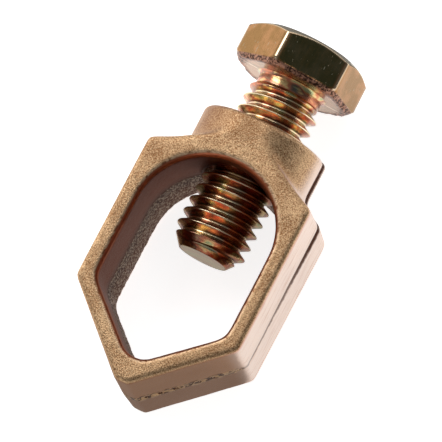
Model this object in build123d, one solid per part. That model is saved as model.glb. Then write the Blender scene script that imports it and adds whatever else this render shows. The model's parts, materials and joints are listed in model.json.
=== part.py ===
from build123d import *
from math import cos, hypot, radians, tan
import os

# Earth rod clamp: one cast ring with a threaded boss, and one hexagon-head set
# bolt that presses a vertical ground rod into the ring's V.
# Frame: +Z is up and along the rod, +Y runs along the bolt from its tip to its
# head, +X is across the ring. The clamp lies on the flat back of its casting.
# Millimetres.

# --- ring casting -----------------------------------------------------------
body_thickness = 15.8  # along the rod, face to face
body_width = 22.3  # across the two flat sides, at the parting plane
side_length = 19.2  # straight run of each flat side
shoulder_slope = 28.0  # degrees, rise of each shoulder towards the boss
flank_slope = 42.5  # degrees, fall of each lower flank towards the V's nose
nose_flat = 1.8  # width of the flat that ends the V
side_draft = 1.2  # degrees, outer walls, from the parting plane to each face
shoulder_round = 1.1  # outside corner between shoulder and side
flank_round = 1.5  # outside corner between side and flank
nose_round = 0.6
face_chamfer = 0.35  # edge break of the outer outline on both faces
lip_chamfer = 0.35  # edge break of the opening on both faces

# --- rod opening ------------------------------------------------------------
opening_width = 17.5  # also the diameter of its arched top
flank_wall = 2.55  # metal between the opening's V and the outer flanks
seat_slope = 41.5  # degrees, slope of the two seats that hold the rod
opening_corner_round = 2.6  # between the straight side and a seat
seat_round = 2.8  # bottom of the V
web_height = 6.1  # metal between the boss top and the arch

# --- boss -------------------------------------------------------------------
boss_flat = 3.6  # width of the strip where the boss is flush with each face
boss_rise = 7.45  # boss top above the shoulder corners
boss_blend = 1.4  # concave blend from shoulder to boss
boss_rim_bevel = 0.4
mouth_chamfer = 0.5

# --- bolt, 3/8 inch 16 threads per inch --------------------------------------
thread_diameter = 9.4  # over the crests
thread_pitch = 1.5875
thread_depth = 0.92
crest_width = 0.34
bolt_length = 23.8  # under the head
tip_diameter = 6.4
tip_angle = 36.0  # degrees, point chamfer against the axis
head_across_flats = 14.29  # 9/16 inch
head_height = 5.2
head_top_circle = 0.93  # of the width across flats
head_chamfer = 28.0  # degrees, top chamfer
head_turn = 11.0  # degrees, a corner of the hexagon from straight up towards -X
head_corner_round = 0.3
bolt_play = 0.06  # radial clearance of the bolt in its hole
head_gap = 6.9  # boss top to underside of the head, as stored

# --- derived places -----------------------------------------------------------
boss_diameter = hypot(body_thickness, boss_flat)
half_width = body_width / 2
half_thickness = body_thickness / 2
bore_radius = thread_diameter / 2 + bolt_play
head_corner = head_across_flats / 2 / cos(radians(30)) - head_corner_round * (
    1 / cos(radians(30)) - 1
)
lowest_corner = head_corner * cos(radians(head_turn))
mid_z = max(half_thickness, lowest_corner)  # the bolt's axis above the floor
boss_top_above_nose = (
    boss_rise + side_length + (half_width - nose_flat / 2) * tan(radians(flank_slope))
)
overall_length = boss_top_above_nose + head_gap + head_height
boss_top = boss_top_above_nose - overall_length / 2
shoulder_y = boss_top - boss_rise
flank_y = shoulder_y - side_length
nose_y = boss_top - boss_top_above_nose
arch_y = boss_top - web_height - opening_width / 2
vertex_y = nose_y - nose_flat / 2 * tan(radians(flank_slope))
seat_vertex_y = vertex_y + flank_wall / cos(radians(flank_slope))
seat_corner_y = seat_vertex_y + opening_width / 2 * tan(radians(seat_slope))
bearing_y = boss_top + head_gap
tip_y = bearing_y - bolt_length
head_y = bearing_y + head_height

mid_plane = Plane.XY.offset(mid_z)
along_bolt = Plane(origin=(0, 0, mid_z), x_dir=(1, 0, 0), z_dir=(0, 1, 0))


def corner_vertices(sketch, x, y):
    """The vertices of a sketch at (+x, y) and (-x, y)."""
    return [
        v for v in sketch.vertices() if abs(abs(v.X) - x) < 1e-4 and abs(v.Y - y) < 1e-4
    ]


def mirrored_face(points):
    """A face from the right half of its outline, which starts and ends on x = 0."""
    right = Polyline(*points)
    return make_face(right + mirror(right, about=Plane.YZ))


def outer_outline():
    peak_y = shoulder_y + half_width * tan(radians(shoulder_slope))
    face = mirrored_face(
        [
            (0, peak_y),
            (half_width, shoulder_y),
            (half_width, flank_y),
            (nose_flat / 2, nose_y),
            (0, nose_y),
        ]
    )
    face = fillet(corner_vertices(face, half_width, shoulder_y), shoulder_round)
    face = fillet(corner_vertices(face, half_width, flank_y), flank_round)
    return fillet(corner_vertices(face, nose_flat / 2, nose_y), nose_round)


def opening_outline():
    half = opening_width / 2
    lower = mirrored_face(
        [(0, arch_y), (half, arch_y), (half, seat_corner_y), (0, seat_vertex_y)]
    )
    lower = fillet(corner_vertices(lower, half, seat_corner_y), opening_corner_round)
    lower = fillet(corner_vertices(lower, 0, seat_vertex_y), seat_round)
    return lower + Pos(0, arch_y) * Circle(half)


def face_edges(solid, z):
    """Edges that lie in the flat face at height z."""
    return solid.edges().filter_by_position(Axis.Z, z - 1e-3, z + 1e-3)


def blend_edges(solid):
    """Edges where the sloping shoulders run into the round boss."""
    return [
        e
        for e in solid.edges()
        if e.geom_type == GeomType.ELLIPSE and e.center().Y > shoulder_y
    ]


def opening_edges(solid, z):
    """Edges of the rod opening in the face at height z."""
    reach = half_width - 0.5 * (body_width - opening_width) / 2
    return [
        e
        for e in face_edges(solid, z)
        if e.bounding_box().max.X < reach
        and e.bounding_box().min.X > -reach
        and e.bounding_box().min.Y > seat_vertex_y - flank_wall / 2
        and e.bounding_box().max.Y < boss_top - web_height / 2
    ]


def make_ring():
    """The ring without its opening, drafted both ways from the parting plane."""
    upper = extrude(
        mid_plane * outer_outline(), amount=half_thickness, dir=(0, 0, 1), taper=side_draft
    )
    return upper + mirror(upper, about=mid_plane)


def make_boss():
    """Round boss about the bolt, cut flush with both faces of the ring."""
    depth = web_height + opening_width / 2
    boss = along_bolt * Pos(0, 0, boss_top - depth / 2) * Cylinder(boss_diameter / 2, depth)
    slab = Pos(0, 0, mid_z) * Box(body_width, 4 * body_width, body_thickness)
    return boss & slab


def rim_cutter():
    """What the bevelled rim takes off the boss's sharp top edge."""
    radius, rim = boss_diameter / 2, boss_rim_bevel
    corner = Polyline(
        (radius - rim, boss_top),
        (radius, boss_top - rim),
        (radius + rim, boss_top - rim),
        (radius + rim, boss_top + rim),
        (radius - rim, boss_top + rim),
        (radius - rim, boss_top),
    )
    return Pos(0, 0, mid_z) * revolve(make_face(corner), Axis.Y)


def make_body():
    front_z, back_z = mid_z + half_thickness, mid_z - half_thickness
    body = make_ring() + make_boss()
    body = fillet(blend_edges(body), boss_blend)
    for z in (front_z, back_z):
        body = chamfer(face_edges(body, z), face_chamfer)
    body -= rim_cutter()
    body -= extrude(mid_plane * opening_outline(), amount=body_thickness, both=True)
    for z in (front_z, back_z):
        body = chamfer(opening_edges(body, z), lip_chamfer)
    bore_depth = 2 * web_height
    body -= along_bolt * Pos(0, 0, boss_top) * Cylinder(bore_radius, 2 * bore_depth)
    mouth = Cone(bore_radius, bore_radius + mouth_chamfer, mouth_chamfer)
    body -= along_bolt * Pos(0, 0, boss_top - mouth_chamfer / 2) * mouth
    return body


def shank_profile():
    """Half section of the threaded shank, radius along X and length along Y.

    The thread's turns are drawn as one groove to a pitch.
    """
    crest, root = thread_diameter / 2, thread_diameter / 2 - thread_depth
    point = (crest - tip_diameter / 2) / tan(radians(tip_angle))
    blank = Polyline(
        (0, 0), (tip_diameter / 2, 0), (crest, point), (crest, bolt_length), (0, bolt_length), (0, 0)
    )
    flank = (thread_pitch - crest_width) / 2
    groove = Polyline((crest, 0), (root, flank), (crest, 2 * flank), (crest, 0))
    section = make_face(blank)
    first = crest_width / 2
    turns = int((bolt_length - first) / thread_pitch)
    for turn in range(turns):
        section -= Pos(0, first + turn * thread_pitch) * make_face(groove)
    return section


def make_head():
    """Hexagon head with a chamfered top, its underside at y = 0."""
    corner = head_across_flats / 2 / cos(radians(30))
    prism = extrude(RegularPolygon(corner, 6), amount=head_height)
    prism = fillet(prism.edges().filter_by(Axis.Z), head_corner_round)
    top_radius = head_top_circle * head_across_flats / 2
    fall = (corner - top_radius) * tan(radians(head_chamfer))
    cap = Polyline(
        (0, 0),
        (corner, 0),
        (corner, head_height - fall),
        (top_radius, head_height),
        (0, head_height),
        (0, 0),
    )
    envelope = revolve(Plane.XZ * make_face(cap), Axis.Z)
    return prism & envelope


def make_bolt():
    shank = Pos(0, tip_y, mid_z) * revolve(shank_profile(), Axis.Y)
    head = along_bolt * Pos(0, 0, bearing_y) * Rot(0, 0, 90 - head_turn) * make_head()
    return shank + head


os.makedirs("parts", exist_ok=True)
for node, solid in (("clamp_body", make_body()), ("clamp_bolt", make_bolt())):
    export_step(solid, f"parts/{node}.step")
    box = solid.bounding_box()
    print(node, round(solid.volume), [round(v, 2) for v in (*box.min, *box.max)])
print("boss top", boss_top, "tip", tip_y, "underside of head", bearing_y)
print("arch", boss_top - web_height, "seat vertex", seat_vertex_y, "axis height", mid_z)
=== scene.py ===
import json
import math
import bmesh
import bpy
import numpy as np
from mathutils import Matrix, Vector


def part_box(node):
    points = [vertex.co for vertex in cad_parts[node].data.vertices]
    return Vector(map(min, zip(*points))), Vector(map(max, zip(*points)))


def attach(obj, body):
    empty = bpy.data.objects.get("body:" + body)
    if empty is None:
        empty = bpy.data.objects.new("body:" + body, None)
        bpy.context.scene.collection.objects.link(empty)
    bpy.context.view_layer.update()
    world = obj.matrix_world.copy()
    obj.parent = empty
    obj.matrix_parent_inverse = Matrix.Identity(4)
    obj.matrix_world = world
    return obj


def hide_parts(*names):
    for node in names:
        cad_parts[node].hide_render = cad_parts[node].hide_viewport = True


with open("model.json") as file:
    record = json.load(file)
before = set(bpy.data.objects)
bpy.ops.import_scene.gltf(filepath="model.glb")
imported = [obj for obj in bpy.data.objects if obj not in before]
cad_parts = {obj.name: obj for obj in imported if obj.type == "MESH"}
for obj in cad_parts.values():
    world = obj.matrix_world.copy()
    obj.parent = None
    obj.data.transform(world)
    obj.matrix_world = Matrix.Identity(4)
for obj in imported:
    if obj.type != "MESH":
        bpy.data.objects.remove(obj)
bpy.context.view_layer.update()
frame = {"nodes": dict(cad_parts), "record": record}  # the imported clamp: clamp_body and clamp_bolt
mm = 0.001

# every place below is read from the two nodes' own boxes and from the mounts
bodyLow, bodyHigh = (Vector(corner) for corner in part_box("clamp_body"))
boltLow, boltHigh = (Vector(corner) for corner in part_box("clamp_bolt"))
mountAt = {mount["name"]: mount["pos_m"] for mount in frame["record"]["mounts"]}
axisHeight = mountAt["bolt_tip"][2]  # the bolt's axis runs along +Y at this height
tipY, headTopY = boltLow.y, boltHigh.y
noseY, bossTopY = bodyLow.y, bodyHigh.y


def operator(operation, flipped=False):
    # one arithmetic sign for signals; the flipped form is for a number on the left
    def apply(self, other):
        pair = (other, self) if flipped else (self, other)
        return self.maths(operation, *pair)

    return apply


class Signal:
    # a socket that can be added, multiplied and so on; each sign adds one Math node
    def __init__(self, paint, socket):
        self.paint, self.socket = paint, socket

    def maths(self, operation, *values):
        return self.paint.add("ShaderNodeMath", {"operation": operation}, dict(enumerate(values)))

    __add__ = operator("ADD")
    __radd__ = operator("ADD", True)
    __sub__ = operator("SUBTRACT")
    __rsub__ = operator("SUBTRACT", True)
    __mul__ = operator("MULTIPLY")
    __rmul__ = operator("MULTIPLY", True)

    def __abs__(self):
        return self.maths("ABSOLUTE", self)

    def between(self, low, high):
        # 0 below low, 1 above high, smooth between
        sockets = {"Value": self, "From Min": low, "From Max": high}
        return self.paint.add("ShaderNodeMapRange", {"interpolation_type": "SMOOTHSTEP"}, sockets)


class Paint:
    # one material or world; add() makes any node and returns its output as a Signal
    def __init__(self, owner):
        owner.use_nodes = True
        self.owner, self.tree = owner, owner.node_tree
        self.tree.nodes.clear()

    def add(self, kind, settings=None, sockets=None, out=0):
        node = self.tree.nodes.new(kind)
        for name, value in (settings or {}).items():
            if name == "stops":
                self.rampStops(node.color_ramp.elements, value)
            else:
                setattr(node, name, value)
        for name, value in (sockets or {}).items():
            if isinstance(value, Signal):
                self.tree.links.new(value.socket, node.inputs[name])
            else:
                node.inputs[name].default_value = value
        return Signal(self, node.outputs[out]) if node.outputs else None

    def rampStops(self, elements, stops):
        while len(elements) < len(stops):
            elements.new(1.0)
        for element, (place, colour) in zip(elements, stops):
            element.position, element.color = place, colour

    def objectPlace(self, scale=(1.0, 1.0, 1.0)):
        place = self.add("ShaderNodeTexCoord", out="Object")
        return self.add("ShaderNodeMapping", {}, {"Vector": place, "Scale": scale})

    def noise(self, place, size, detail=3.0, roughness=0.55):
        # size is the width of one blotch in metres
        sockets = {"Vector": place, "Scale": 1.0 / size, "Detail": detail, "Roughness": roughness}
        return self.add("ShaderNodeTexNoise", {}, sockets)

    def mix(self, factor, first, second):
        settings = {"data_type": "RGBA", "blend_type": "MIX"}
        return self.add("ShaderNodeMix", settings, {0: factor, 6: first, 7: second}, 2)

    def ramp(self, value, *stops):
        return self.add("ShaderNodeValToRGB", {"stops": stops}, {"Fac": value})

    def attribute(self, name):
        return self.add("ShaderNodeAttribute", {"attribute_name": name}, {}, "Fac")

    def bump(self, height, distance, normal=None):
        sockets = {"Height": height, "Distance": distance, "Strength": 1.0}
        if normal:
            sockets["Normal"] = normal
        return self.add("ShaderNodeBump", {}, sockets)

    def metal(self, colour, rough, normal):
        sockets = {"Base Color": colour, "Metallic": 1.0, "Roughness": rough, "Normal": normal}
        shader = self.add("ShaderNodeBsdfPrincipled", {}, sockets)
        self.add("ShaderNodeOutputMaterial", {}, {"Surface": shader})
        return self.owner


def rgb(red, green, blue):
    # screen values 0-255 to the linear colour that a shader wants
    screen = np.array((red, green, blue)) / 255
    linear = np.where(screen <= 0.04045, screen / 12.92, ((screen + 0.055) / 1.055) ** 2.4)
    return (*linear.tolist(), 1.0)


def latticeNoise(points, size, seed):
    # smooth value noise from -1 to 1: random numbers at the corners of a cubic lattice, blended
    # across each cell by the cubic 3t^2 - 2t^3 in every direction
    place = points / size
    cell = np.floor(place).astype(np.int64)
    part = place - cell
    ease = part * part * (3 - 2 * part)
    total = np.zeros(len(points))
    for corner in np.ndindex(2, 2, 2):
        key = (cell + corner) @ np.array([73856093, 19349663, 83492791]) + seed * 2654435761
        key = (key ^ (key >> 13)) * 1274126177 & 0x7FFFFFFF
        key = (key ^ (key >> 16)) * 668265263 & 0x7FFFFFFF
        weight = np.prod(np.where(corner, ease, 1 - ease), axis=1)
        total += weight * (key / 0x3FFFFFFF - 1)
    return total


def layeredNoise(points, size, seed, layers=3):
    # each layer has half the size and 0.55 of the height of the one before
    return sum(0.55**n * latticeNoise(points, size / 2**n, seed + n) for n in range(layers))


def smoothMin(first, second, width):
    # the smaller of two surfaces, with their crossing rounded over about the given width
    blend = np.clip(0.5 + 0.5 * (second - first) / width, 0, 1)
    return second * (1 - blend) + first * blend - width * blend * (1 - blend)


def smoothStep(value, low, high):
    # 0 below low and 1 above high, by the cubic 3t^2 - 2t^3 between them
    t = np.clip((value - low) / (high - low), 0, 1)
    return t * t * (3 - 2 * t)


def hump(value, width):
    # 1 at zero, falling off as a bell curve of the given width
    return np.exp(-((value / width) ** 2))


def readVectors(items, name):
    values = np.empty(len(items) * 3)
    items.foreach_get(name, values)
    return values.reshape(-1, 3)


def writePoints(mesh, points):
    mesh.vertices.foreach_set("co", np.asarray(points, dtype=np.float32).ravel())
    mesh.update()


def writeAttribute(mesh, name, values):
    layer = mesh.attributes.new(name, "FLOAT", "POINT")
    layer.data.foreach_set("value", np.asarray(values, dtype=np.float32).ravel())


def newPiece(name, mesh):
    piece = bpy.data.objects.new(name, mesh)
    bpy.context.scene.collection.objects.link(piece)
    return piece


def neighbourMean(mesh, values):
    # mean of the values at the vertices that share an edge with each vertex
    edges = np.empty(len(mesh.edges) * 2, dtype=np.int64)
    mesh.edges.foreach_get("vertices", edges)
    a, b = edges.reshape(-1, 2).T
    flat = values.reshape(len(values), -1)
    total = np.zeros_like(flat)
    for column in range(flat.shape[1]):
        total[:, column] += np.bincount(a, flat[b, column], len(flat))
        total[:, column] += np.bincount(b, flat[a, column], len(flat))
    count = np.bincount(edges, minlength=len(flat))[:, None]
    return (total / np.maximum(count, 1)).reshape(values.shape)


def standIn(piece, node, body, material):
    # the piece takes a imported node's place, body, slot and finish
    piece.data.materials.clear()
    piece.data.materials.append(material)
    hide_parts(node)
    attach(piece, body)
    print(piece.name, len(piece.data.vertices), "points", len(piece.data.polygons), "faces")


casting = {
    "voxel": 0.205 * mm,  # spacing of the points of the cast skin
    "softening": 2,  # passes that round the fresh skin's edges
    "lipSoftening": 30,  # more of them round the lips of the opening
    "bossSoftening": 40,  # passes where the shoulders run into the boss
    "bossJoin": (8.1 * mm, 5.8 * mm),  # that place: out from the bolt, and down from the boss top
    "spine": (10.4 * mm, 14.85 * mm),  # middle line of the opening, from the nose and the boss top
    "flankRise": 9.4 * mm,  # from the nose up to the corners between flanks and sides
    "lipReach": (1.3 * mm, 0.6 * mm),  # where the lips start and are full, from the flat faces
    "waveSize": 3.4 * mm,  # slow unevenness of the mould
    "waveHeight": 0.022 * mm,
    "grainSize": 0.40 * mm,  # sand grain
    "grainHeight": 0.010 * mm,
    "partingDepth": 0.24 * mm,  # groove left between the two halves of the mould
    "partingWidth": 0.42 * mm,
    "patchSize": 0.9 * mm,  # the groove is broken into patches on the flanks
    "mismatch": 0.15 * mm,  # how far the lower half stands out past the upper one
    "roughHeight": 0.045 * mm,  # coarse skin on the lower half of the opening's wall
    "seed": 11,
}


def castSkin(values):
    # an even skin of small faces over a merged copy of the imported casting
    source = frame["nodes"]["clamp_body"].data.copy()
    work = bmesh.new()
    work.from_mesh(source)
    bmesh.ops.remove_doubles(work, verts=work.verts, dist=0.001 * mm)
    work.to_mesh(source)
    work.free()
    piece = newPiece("castClampBody", source)
    skin = piece.modifiers.new("skin", "REMESH")
    skin.mode = "VOXEL"
    skin.voxel_size = values["voxel"]
    skin.use_smooth_shade = True
    graph = bpy.context.evaluated_depsgraph_get()
    mesh = bpy.data.meshes.new_from_object(piece.evaluated_get(graph))
    piece.modifiers.clear()
    piece.data = mesh
    mesh.name = piece.name
    return piece


def soften(mesh, points, passes, share):
    # each pass moves a point half way to its neighbours' mean, times its share
    for _ in range(passes):
        points = points + 0.5 * share * (neighbourMean(mesh, points) - points)
    return points


def insideOpening(values, points, normals):
    # 1 on the wall of the rod opening, where the normal points to the opening's middle line
    fromNose, fromTop = values["spine"]
    middleY = np.clip(points[:, 1], noseY + fromNose, bossTopY - fromTop)
    toMiddle = np.stack([-points[:, 0], middleY - points[:, 1]], axis=1)
    toMiddle /= np.linalg.norm(toMiddle, axis=1)[:, None]
    return smoothStep(np.sum(toMiddle * normals[:, :2], axis=1), 0.25, 0.6)


def makeCasting(values, material):
    # a fine copy of the cast node: its points move along their normals by slow mould waves, sand
    # grain, and a groove and step at the parting plane
    piece = castSkin(values)
    mesh, seed = piece.data, values["seed"]
    points = readVectors(mesh.vertices, "co")
    points = soften(mesh, points, values["softening"], 1)
    joinX, joinDrop = values["bossJoin"]
    fromJoin = np.hypot(np.abs(points[:, 0]) - joinX, points[:, 1] - (bossTopY - joinDrop))
    points = soften(mesh, points, values["bossSoftening"], hump(fromJoin, 2 * mm)[:, None])
    writePoints(mesh, points)
    normals = readVectors(mesh.vertices, "normal")
    fromParting = points[:, 2] - axisHeight
    lipStart, lipFull = (bodyHigh.z - axisHeight - reach for reach in values["lipReach"])
    nearInside = soften(mesh, insideOpening(values, points, normals), 6, 1)
    nearFace = smoothStep(np.abs(fromParting), lipStart, lipFull)
    points = soften(mesh, points, values["lipSoftening"], (nearInside * nearFace)[:, None])
    writePoints(mesh, points)
    normals = readVectors(mesh.vertices, "normal")

    # masks for the relief and the finish, from 0 to 1; bend alone runs both ways, above 0 on
    # edges that stand out and below 0 in hollows, in parts of the face size
    bend = -np.sum((neighbourMean(mesh, points) - points) * normals, axis=1)
    bend = soften(mesh, bend / values["voxel"], 4, 1)
    wall = 1 - np.abs(normals[:, 2])  # 1 on walls, 0 on the two flat faces
    inside = insideOpening(values, points, normals)
    outer = smoothStep(wall, 0.5, 0.9) * (1 - inside)
    lip = smoothStep(wall, 0.08, 0.35) * (1 - smoothStep(wall, 0.75, 0.97))
    lip *= smoothStep(nearInside, 0.02, 0.2) * nearFace
    lipEdge = hump(wall - 0.10, 0.06) * smoothStep(nearInside, 0.005, 0.05)
    cornerY = noseY + values["flankRise"]
    along = smoothStep(points[:, 1], cornerY, bossTopY - 8 * mm)  # grows from there to the boss
    flank = 1 - smoothStep(points[:, 1], cornerY - 1.5 * mm, cornerY + 0.5 * mm)
    roughHalf = smoothStep(-fromParting, -0.2 * mm, 0.5 * mm) * inside
    masks = {"bend": bend, "inside": inside, "roughHalf": roughHalf, "outer": outer}
    masks |= {"along": along, "flank": flank, "lip": lip, "lipEdge": lipEdge}

    wave = latticeNoise(points, values["waveSize"], seed)
    grain = layeredNoise(points, values["grainSize"], seed + 20)
    patchy = np.clip(0.4 + latticeNoise(points, values["patchSize"], seed + 40), 0, 1)
    groove = hump(fromParting, values["partingWidth"]) * outer
    groove *= np.where(flank > 0, flank * patchy, 0.35 + 0.65 * along)
    step = smoothStep(-fromParting, 0, values["partingWidth"]) * outer * along
    lift = values["waveHeight"] * wave + values["grainHeight"] * grain * (1 - 0.6 * outer)
    lift -= values["partingDepth"] * groove
    lift += values["mismatch"] * step
    lift += values["roughHeight"] * roughHalf * grain
    writePoints(mesh, points + normals * lift[:, None])
    for name, data in masks.items():
        writeAttribute(mesh, name, data)
    standIn(piece, "clamp_body", "body", material)


bronze = {
    "pale": rgb(224, 188, 146),  # worn high spots of the sandy faces
    "deep": rgb(140, 98, 64),
    "side": rgb(234, 214, 202),  # smoother, cleaner skin of the two sides
    "streak": rgb(204, 166, 146),  # thin drawn marks on the sides
    "flank": rgb(200, 150, 116),  # and of the lower flanks
    "lower": rgb(128, 92, 78),  # darker lower half of the flanks
    "shade": rgb(132, 84, 54),  # painted shade on the left side of the boss
    "oxideAndShade": rgb(138, 76, 50),  # oxide skin of the opening's wall, with painted shade of the recess
    "deepShade": rgb(84, 56, 42),  # painted shade deep in the opening: its middle, where the two halves meet, and its coarse lower half
    "ash": rgb(206, 184, 164),  # its coarse half
    "lip": rgb(196, 118, 84),  # rounded lip of the opening
    "paintedHighlight": rgb(250, 216, 176),  # painted highlight along the lip
    "dirtAndShade": rgb(70, 42, 30),  # dirt and painted shade in hollows and along the parting mark
    "blotchSize": 4.5 * mm,
    "wanderSize": 0.6 * mm,  # how the parting mark and the lip's painted highlight wander
    "streakSize": 0.5 * mm,
    "crumbSize": 0.3 * mm,
    "speckSize": 0.17 * mm,
    "deepShadeReach": (0.3 * mm, 3.2 * mm),  # from the middle: where the painted shade starts to fade, and ends
    "deepShadeDrop": 1.2 * mm,  # how far its middle lies under the parting plane
    "bossDrop": (5.5 * mm, 3.5 * mm),  # the boss's skin starts and is full, from the boss top
    "bossSide": (2.5 * mm, 6.5 * mm),  # its painted shade on the left starts and is full, from the middle
    "rimReach": (1.1 * mm, 0.5 * mm),  # dull rim of the walls, from the flat faces
    "markWidth": 0.42 * mm,  # dark line of the parting mark
    "gritHeight": 0.07 * mm,
    "rough": 0.46,
}


def bronzeFinish(values):
    paint = Paint(bpy.data.materials.new("castBronze"))
    place = paint.objectPlace()
    across, up, height = (
        paint.add("ShaderNodeSeparateXYZ", {}, {"Vector": place}, axis) for axis in "XYZ"
    )
    blotch = paint.noise(place, values["blotchSize"])
    speck = paint.noise(place, values["speckSize"], 2.0, 0.7)
    wander = paint.noise(place, values["wanderSize"], 2.0)
    crumb = paint.noise(place, values["crumbSize"], 3.0, 0.75)
    streak = paint.noise(paint.objectPlace((1, 0.1, 1)), values["streakSize"], 3.0, 0.65)
    bend, inside, outer = (paint.attribute(name) for name in ("bend", "inside", "outer"))
    roughHalf, along, flank = (paint.attribute(name) for name in ("roughHalf", "along", "flank"))
    lip, lipEdge = (paint.attribute(name) for name in ("lip", "lipEdge"))
    edge = bend.between(0.02, 0.10)
    hollow = (0 - bend).between(0.02, 0.10)

    # the sandy faces, then the walls round the outside
    tone = (blotch * 0.3 + speck * 0.7).between(0.36, 0.64)
    colour = paint.mix(tone, values["deep"], values["pale"])
    drawn = streak.between(0.5, 0.72) * 0.8 + speck.between(0.55, 0.7) * 0.3
    sides = paint.mix(drawn, values["side"], values["streak"])
    walls = paint.mix(flank, sides, values["flank"])
    colour = paint.mix(outer * (0.95 - 0.2 * speck), colour, walls)
    # dirt and painted shade darken the hollows
    colour = paint.mix(hollow * 0.45 * (1 - inside), colour, values["dirtAndShade"])

    # the wall of the opening and its lip
    deepShadeHeight = axisHeight - values["deepShadeDrop"]
    middle = 1 - abs(height - deepShadeHeight).between(*values["deepShadeReach"])
    # oxide skin and painted shade over the whole wall of the opening
    colour = paint.mix(inside, colour, values["oxideAndShade"])
    # painted shade in the middle of the opening's wall and on its coarse lower half
    colour = paint.mix(inside * middle * 0.8, colour, values["deepShade"])
    colour = paint.mix(roughHalf * 0.6, colour, values["deepShade"])
    colour = paint.mix(roughHalf * crumb.between(0.50, 0.58), colour, values["ash"])
    colour = paint.mix(lip * 0.9, colour, values["lip"])
    # painted highlight: a broken bright line along the lip
    colour = paint.mix(lipEdge * wander.between(0.35, 0.5), colour, values["paintedHighlight"])

    # the darker lower half of the flanks, and painted shade on the left side of the boss
    lowerHalf = (axisHeight - height).between(0.1 * mm, 0.8 * mm)
    colour = paint.mix(outer * flank * lowerHalf * 0.3, colour, values["lower"])
    bossLow, bossFull = (bossTopY - drop for drop in values["bossDrop"])
    onBoss = up.between(bossLow, bossFull) * (1 - inside)
    leftSide = (0 - across).between(*values["bossSide"])
    # painted shade over the left side of the boss
    colour = paint.mix(onBoss * leftSide * 0.45, colour, values["shade"])

    # the parting mark is a dark line of dirt and painted shadow on the sides and a broken, flecked
    # one on the lower flanks
    fromParting = abs(height - axisHeight + (wander - 0.5) * ((0.5 + flank) * mm))
    reach = values["markWidth"] + (0.45 * along + 0.7 * flank) * mm
    line = (1 - fromParting.between(reach * 0.4, reach)) * outer
    colour = paint.mix(line * (1 - flank) * (0.6 + 0.4 * along), colour, values["dirtAndShade"])
    fleck = paint.mix(wander.between(0.47, 0.53), values["dirtAndShade"], values["pale"])
    colour = paint.mix(line * flank * speck.between(0.36, 0.50), colour, fleck)
    rimStart, rimFull = (bodyHigh.z - axisHeight - inset for inset in values["rimReach"])
    rim = outer * abs(height - axisHeight).between(rimStart, rimFull)
    colour = paint.mix(rim * 0.55 * (1 - 0.5 * flank), colour, values["lip"])

    rough = values["rough"] + (speck - 0.5) * 0.3 - outer * 0.08 - edge * 0.1 - lip * 0.12
    grit = speck * (1 - 0.4 * outer) * (1 - 0.5 * inside) * (1 - 0.8 * lip)
    relief = grit + roughHalf * crumb * 2.5 + line * flank * wander * 2
    return paint.metal(colour, rough, paint.bump(relief, values["gritHeight"]))


bolt = {
    "columns": 144,  # points round the bolt; a multiple of 12 puts one on every corner
    "stations": 22,  # points across one turn of the thread
    "pitch": 1.5875 * mm,
    "crestRadius": 4.80 * mm,
    "rootRadius": 3.72 * mm,
    "crestHalf": 0.05 * mm,
    "rootHalf": 0.10 * mm,
    "crestSeam": 0.05 * mm,  # depth of the fold that rolling leaves along the crest
    "seamWidth": 0.07 * mm,
    "crestAt": 3.22 * mm,  # from the boss top up to a crest on the -X side
    "tipRadius": 3.2 * mm,
    "tipLength": 2.0 * mm,
    "neckLength": 1.9 * mm,  # plain neck under the head
    "neckRadius": 4.15 * mm,
    "neckFillet": 0.5 * mm,  # hollow round where the neck meets the head
    "headHeight": 5.2 * mm,
    "headLevels": 64,  # points up the side of the head
    "acrossFlats": 14.29 * mm,
    "cornerRadius": 8.16 * mm,
    "cornerTurn": math.radians(-11),  # a corner's angle from +Z towards +X
    "topRadius": 6.45 * mm,
    "topSlope": math.radians(28),
    "lowRadius": 7.3 * mm,  # the corners are cut below as well, at half a right angle
    "trimHeight": 0.5 * mm,  # ragged trimmed edge under the head
    "trimDepth": 0.28 * mm,
    "trimSize": 0.7 * mm,  # length of one torn patch
    "wornWidth": 0.16 * mm,  # worn edges of the flats
    "seed": 5,
}


def threadRadius(values, angle, y):
    # the crest runs up one pitch for each turn from +Z towards +X; the height is 1 on the crest
    # and 0 in the root, with straight flanks, and a seam is pressed into the crest
    turn = (y - bossTopY - values["crestAt"]) / values["pitch"] - (angle + math.pi / 2) / math.tau
    away = np.abs((turn + 0.5) % 1 - 0.5) * values["pitch"]
    reach = values["pitch"] / 2 - values["rootHalf"]
    height = np.clip((reach - away) / (reach - values["crestHalf"]), 0, 1)
    seam = values["crestSeam"] * hump(away, values["seamWidth"])
    depth = values["crestRadius"] - values["rootRadius"]
    return values["rootRadius"] + depth * height - seam, height


def hexRadius(values, angle):
    # distance to the nearest flat of the hexagon, its corners cut by a slightly smaller circle
    sector = math.pi / 3
    fromFlat = (angle - values["cornerTurn"]) % sector - sector / 2
    flat = values["acrossFlats"] / 2 / np.cos(fromFlat)
    return smoothMin(flat, np.full_like(flat, values["cornerRadius"]), 0.12 * mm)


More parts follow.
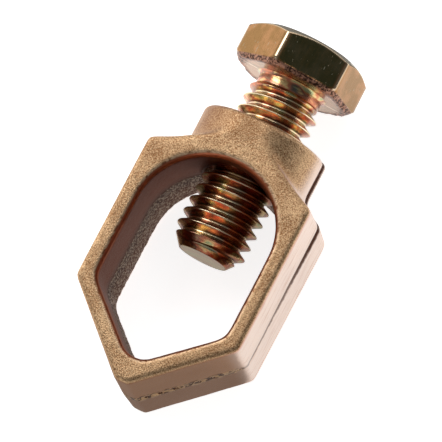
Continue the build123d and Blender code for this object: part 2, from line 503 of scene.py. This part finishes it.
def shankRows(values, angle, bearingY):
    # rows of the shank; in the thread they follow the helix, so that the crests are clean lines
    threadEnd = bearingY - 0.02 * mm
    turns = math.ceil((threadEnd - tipY) / values["pitch"]) + 2
    steps = np.arange(turns * values["stations"] + 1) / values["stations"] - 1
    rise = np.arange(len(angle)) / len(angle)
    y = np.clip(tipY + values["pitch"] * (steps[:, None] + rise[None, :]), tipY, threadEnd)
    radius, height = threadRadius(values, np.broadcast_to(angle, y.shape), y)
    slope = (values["crestRadius"] - values["tipRadius"]) / values["tipLength"]
    point = values["tipRadius"] + (y - tipY) * slope
    plain = smoothStep(radius - point, 0, 0.1 * mm)
    radius = smoothMin(radius, point, 0.08 * mm)
    neckY = bearingY - values["neckLength"]
    neck = smoothStep(y, neckY - 0.4 * mm, neckY + 0.5 * mm)
    radius = radius * (1 - neck) + values["neckRadius"] * neck
    fillet = np.clip(y - (bearingY - values["neckFillet"]), 0, None)
    plain = np.maximum(plain, neck)
    return radius + fillet**2 / mm, y, height * (1 - plain) + 0.6 * plain


def headRows(values, angle, bearingY, start):
    # rows of the underside, the ragged trimmed edge, the six flats and the chamfered top
    wide = hexRadius(values, angle)
    outline = np.stack([wide * np.cos(angle), wide * np.sin(angle), 0 * angle], axis=1)
    ragged = 1 + 0.5 * latticeNoise(outline, values["trimSize"], values["seed"])
    trim = values["trimDepth"] * ragged
    radius, y = [], []
    under = np.minimum(wide - trim, values["lowRadius"])
    for part in (0.15, 0.3, 0.5, 0.7, 0.85, 0.93, 1.0):
        radius.append(start + (under - start) * part)
        y.append(0.0)
    for level in np.linspace(0, 1, values["headLevels"])[1:] * values["headHeight"]:
        lowCut = trim * np.clip(1 - level / (values["trimHeight"] * ragged), 0, 1)
        cone = values["topRadius"] + (values["headHeight"] - level) / math.tan(values["topSlope"])
        cone = min(cone, values["lowRadius"] + level)
        radius.append(smoothMin(wide - lowCut, np.full_like(wide, cone), 0.08 * mm))
        y.append(level)
    for part in (0.8, 0.55, 0.3):
        radius.append(np.full_like(wide, values["topRadius"] * part))
        y.append(values["headHeight"])
    level = np.broadcast_to(np.array(y)[:, None], (len(y), len(angle)))
    return np.array(radius), bearingY + level, level


def headMasks(values, angle, radius, y, level):
    # trim: the torn edge under the head; crown: the chamfered top; corner: the worn edges, which
    # are the six upright ones and those where the flats meet the chamfer
    trim = smoothStep(radius, 6.2 * mm, 6.6 * mm) * (1 - smoothStep(level, 0.5 * mm, 0.65 * mm))
    rise = math.tan(values["topSlope"])
    crown = smoothStep(y - headTopY + (radius - values["topRadius"]) * rise, -0.1 * mm, 0)
    sector = math.pi / 3
    fromCorner = np.abs((angle - values["cornerTurn"] + sector / 2) % sector - sector / 2)
    onCorner = hump(fromCorner * radius, values["wornWidth"])
    chamfer = values["topRadius"] + (headTopY - y) / rise  # its radius at this height
    onChamfer = hump(hexRadius(values, angle) - chamfer, values["wornWidth"])
    corner = np.maximum(onCorner * (chamfer > values["cornerRadius"]), onChamfer)
    return {"trim": trim, "crown": crown, "corner": corner, "head": np.ones_like(radius)}


def makeBolt(values, material):
    # one closed surface of rows of points round the bolt, each row joined to the next
    columns = values["columns"]
    angle = values["cornerTurn"] + math.tau * np.arange(columns) / columns
    bearingY = headTopY - values["headHeight"]
    shankRadius, shankY, height = shankRows(values, angle, bearingY)
    start = shankRadius[-1].max()
    headRadius, headY, level = headRows(values, angle, bearingY, start)
    tipRadius = np.outer((0.25, 0.5, 0.75, 0.94), np.full(columns, values["tipRadius"]))
    radius = np.vstack([tipRadius, shankRadius, headRadius])
    y = np.vstack([np.full_like(tipRadius, tipY), shankY, headY])
    points = np.stack([radius * np.sin(angle), y, axisHeight + radius * np.cos(angle)], axis=-1)
    poles = [(0, tipY, axisHeight), (0, headTopY, axisHeight)]
    points = np.vstack([points.reshape(-1, 3), poles])

    # quads between the rows; the last column joins the first one pitch further on in the thread
    rows, first, last = len(radius), len(tipRadius), len(tipRadius) + len(shankRadius) - 1
    row, column = np.mgrid[0 : rows - 1, 0:columns]
    after = (column + 1) % columns

    def across(r):
        seam = (r >= first) & (r <= last) & (after == 0)
        return np.where(seam, np.minimum(r + values["stations"], last), r) * columns + after

    corners = [row * columns + column, (row + 1) * columns + column, across(row + 1), across(row)]
    quads = np.stack(corners, axis=-1).reshape(-1, 4)
    c = np.arange(columns)
    low, high, lastRow = len(points) - 2, len(points) - 1, (rows - 1) * columns
    lowFan = np.stack([np.full(columns, low), c, (c + 1) % columns], axis=1)
    highFan = np.stack([np.full(columns, high), lastRow + (c + 1) % columns, lastRow + c], axis=1)
    mesh = bpy.data.meshes.new("hexagonSetBolt")
    mesh.from_pydata(points.tolist(), [], quads.tolist() + lowFan.tolist() + highFan.tolist())

    # masks for the finish: crest on the thread, the others on the head
    shank = np.vstack([0 * tipRadius, 0 * shankRadius])
    masks = {"crest": np.vstack([0 * tipRadius, height, 0 * headRadius])}
    for name, data in headMasks(values, angle, headRadius, headY, level).items():
        masks[name] = np.vstack([shank, data])
    for name, data in masks.items():
        writeAttribute(mesh, name, np.append(data.ravel(), [0, data[-1, 0]]))
    work = bmesh.new()
    work.from_mesh(mesh)
    bmesh.ops.remove_doubles(work, verts=work.verts, dist=0.002 * mm)
    bmesh.ops.dissolve_degenerate(work, edges=work.edges, dist=0.001 * mm)
    bmesh.ops.recalc_face_normals(work, faces=work.faces)
    print("bolt open edges", sum(not edge.is_manifold for edge in work.edges))
    work.to_mesh(mesh)
    work.free()
    mesh.shade_smooth()
    standIn(newPiece("hexagonSetBolt", mesh), "clamp_bolt", "bolt", material)


plating = {
    "gold": rgb(226, 192, 136),  # the passivated film changes colour with its thickness
    "red": rgb(204, 126, 94),
    "brown": rgb(156, 118, 98),
    "olive": rgb(186, 186, 138),
    # crest: painted highlight along the thread's crests and the floors of its roots
    "crest": rgb(232, 212, 178),
    # root: painted shade just above the thread's roots, also the dark flecks of the torn edge
    "root": rgb(66, 44, 34),
    "head": rgb(140, 104, 60),
    "headPale": rgb(162, 118, 76),
    "bare": rgb(168, 150, 122),  # chamfered top, where the film is thin
    "corner": rgb(226, 206, 178),  # worn edges of the flats
    "nick": rgb(168, 176, 160),  # small knocks on the head
    "torn": rgb(176, 130, 108),  # torn metal of the trimmed edge
    "cloudSize": 2.6 * mm,
    "filmSize": 1.7 * mm,
    "tornSize": 0.34 * mm,
    "nickSize": 0.26 * mm,
    "scratchSize": 0.22 * mm,
    "scratchHeight": 0.010 * mm,
    "tornHeight": 0.012 * mm,
    "rough": 0.22,
}


def platingFinish(values):
    paint = Paint(bpy.data.materials.new("yellowPlatedSteel"))
    place = paint.objectPlace()
    film = paint.noise(paint.objectPlace((0.6, 1.5, 0.6)), values["filmSize"], 2.0)
    cloud = paint.noise(place, values["cloudSize"], 4.0, 0.6)
    fine = paint.noise(place, values["tornSize"], 3.0, 0.7)
    knock = paint.noise(paint.objectPlace((1, 0.3, 1)), values["nickSize"], 2.0)
    scratch = paint.noise(paint.objectPlace((1, 0.12, 1)), values["scratchSize"], 3.0, 0.7)
    crest, head, trim = (paint.attribute(name) for name in ("crest", "head", "trim"))
    crown, corner = (paint.attribute(name) for name in ("crown", "corner"))

    # the thread: the film's colours, with painted shade above the root and painted highlights on the
    # crest and along the root's floor
    thread = paint.ramp(
        film, (0.36, values["olive"]), (0.42, values["gold"]), (0.48, values["red"]),
        (0.58, values["brown"]), (0.64, values["gold"])
    )
    rootBand = crest.between(0.02, 0.08) * (1 - crest.between(0.10, 0.42))
    thread = paint.mix(rootBand * 0.6, thread, values["root"])
    # painted highlight on the crests and along the floors of the roots
    paintedHighlight = crest.between(0.90, 0.98) + (1 - crest.between(0.0, 0.03)) * 0.7
    thread = paint.mix(paintedHighlight, thread, values["crest"])

    # the head
    nick = knock.between(0.67, 0.73) * head
    flats = paint.mix(cloud.between(0.42, 0.62), values["head"], values["headPale"])
    flats = paint.mix(crown, flats, values["bare"])
    flats = paint.mix(corner * 0.8, flats, values["corner"])
    flats = paint.mix(nick * 0.5, flats, values["nick"])
    torn = paint.mix(fine.between(0.44, 0.56), values["root"], values["torn"])
    flats = paint.mix(trim, flats, torn)
    colour = paint.mix(head, thread, flats)

    rough = values["rough"] + (scratch - 0.5) * 0.2 + trim * 0.25 - head * 0.06 + nick * 0.25
    normal = paint.bump(scratch, values["scratchHeight"])
    normal = paint.bump(fine * (trim * 6 + 0.4), values["tornHeight"], normal)
    return paint.metal(colour, rough, normal)


def flatSheet(lowX, lowY, highX, highY, z=0.0):
    # corners of a level rectangle
    return [(lowX, lowY, z), (highX, lowY, z), (highX, highY, z), (lowX, highY, z)]


onFloor = 0.1 * mm  # height of the boards that lie on the floor

studio = {
    "floorSize": 1.6,
    "floorColour": 0.8,
    "floorSeen": 0.84,  # what a ray from the camera or off metal adds to the lit floor
    "roomLight": 0.30,  # what the room gives the floor
    "roomSeen": 0.95,
    "lamps": {
        "keyLamp": {"place": (-0.225, 0.10, 0.26), "size": (0.20, 0.24), "power": 0.62},
        "fillLamp": {"place": (-0.02, 0.20, 0.28), "size": (0.22, 0.14), "power": 0.25},
    },
    # dark boards, seen only in reflections: each is its level and its corners
    "boards": {
        "ceiling": ((0.20, 0.20, 0.20), flatSheet(-0.7, -0.7, 0.7, 0.7, 0.3)),
        "rightBoard": (
            (0.14, 0.14, 0.14),
            [(0.2, -0.4, 0.02), (0.2, 0.4, 0.02), (0.2, 0.4, 0.3), (0.2, -0.4, 0.3)],
        ),
        "darkBoard": ((0.055, 0.11, 0.15), flatSheet(0.05, -0.02, 0.20, 0.13, 0.27)),
        "openingBoard": (
            (0.42, 0.40, 0.38),
            flatSheet(-0.0085, -0.022, 0.0085, 0.006, onFloor),
        ),
        "backBoard": ((0.34, 0.34, 0.33), flatSheet(-0.04, 0.029, 0.02, 0.08, onFloor)),
        "frontBoard": (
            (0.36, 0.34, 0.32),
            [(-0.05, -0.08, onFloor), (0.06, -0.08, onFloor),
             (0.0122, -0.0155, onFloor), (-0.0122, -0.0155, onFloor)],
        ),
    },
}


def seenRays(paint):
    # 1 for a ray from the camera, off metal or through glass, 0 for light on other things
    names = ("Is Camera Ray", "Is Glossy Ray", "Is Transmission Ray")
    camera, glossy, through = (paint.add("ShaderNodeLightPath", out=name) for name in names)
    return camera + glossy + through


def sheetPiece(name, corners):
    mesh = bpy.data.meshes.new(name)
    mesh.from_pydata(corners, [], [(0, 1, 2, 3)])
    piece = newPiece(name, mesh)
    return piece


def makeFloor(values):
    half = values["floorSize"] / 2
    corners = flatSheet(-half, -half, half, half)
    paint = Paint(bpy.data.materials.new("paleFloor"))
    grey = (*[values["floorColour"]] * 3, 1.0)
    matt = paint.add("ShaderNodeBsdfDiffuse", {}, {"Color": grey})
    glow = paint.add("ShaderNodeEmission", {}, {"Strength": seenRays(paint) * values["floorSeen"]})
    both = paint.add("ShaderNodeAddShader", {}, {0: matt, 1: glow})
    paint.add("ShaderNodeOutputMaterial", {}, {"Surface": both})
    sheetPiece("paleFloor", corners).data.materials.append(paint.owner)


def makeBoard(name, level, corners):
    paint = Paint(bpy.data.materials.new(name))
    glow = paint.add("ShaderNodeEmission", {}, {"Color": (*level, 1.0)})
    paint.add("ShaderNodeOutputMaterial", {}, {"Surface": glow})
    board = sheetPiece(name, corners)
    board.data.materials.append(paint.owner)
    board.visible_camera = False
    board.visible_diffuse = False
    board.visible_shadow = False


def makeRoom(values):
    world = bpy.data.worlds.new("softRoom")
    bpy.context.scene.world = world
    paint = Paint(world)
    level = values["roomLight"] + seenRays(paint) * (values["roomSeen"] - values["roomLight"])
    back = paint.add("ShaderNodeBackground", {}, {"Color": (1, 1, 1, 1), "Strength": level})
    paint.add("ShaderNodeOutputWorld", {}, {"Surface": back})


def makeLamp(name, place, size, power):
    light = bpy.data.lights.new(name, "AREA")
    light.shape = "RECTANGLE"
    light.energy = power
    light.size, light.size_y = size
    lamp = bpy.data.objects.new(name, light)
    bpy.context.scene.collection.objects.link(lamp)
    lamp.location = place
    towards = Vector((0, 0, axisHeight)) - Vector(place)
    lamp.rotation_euler = towards.to_track_quat("-Z", "Y").to_euler()


view = {
    "place": (132.35 * mm, -114.70 * mm, 542.99 * mm),  # from the middle of the boss's top
    "down": (0.41218, -0.87152, -0.26564),  # where the camera's lower side points
    "forward": (-0.23304, 0.18102, -0.95547),
    "focal": 383.2,  # mm on a 36 mm sensor
}


def makeCamera(values):
    camera = bpy.data.objects.new("camera", bpy.data.cameras.new("camera"))
    bpy.context.scene.collection.objects.link(camera)
    bpy.context.scene.camera = camera
    camera.data.sensor_width = 36
    camera.data.lens = values["focal"]
    camera.data.clip_start, camera.data.clip_end = 0.05, 5
    down, forward = Vector(values["down"]), Vector(values["forward"])
    turn = Matrix((down.cross(forward), -down, -forward)).transposed()
    place = Vector((0, bossTopY, axisHeight)) + Vector(values["place"])
    camera.matrix_world = Matrix.Translation(place) @ turn.to_4x4()


bpy.context.scene.view_settings.view_transform = "Standard"
makeCamera(view)
makeRoom(studio)
makeFloor(studio)
for name, lamp in studio["lamps"].items():
    makeLamp(name, lamp["place"], lamp["size"], lamp["power"])
for name, (level, corners) in studio["boards"].items():
    makeBoard(name, level, corners)
print("studio ready")
makeCasting(casting, bronzeFinish(bronze))
makeBolt(bolt, platingFinish(plating))
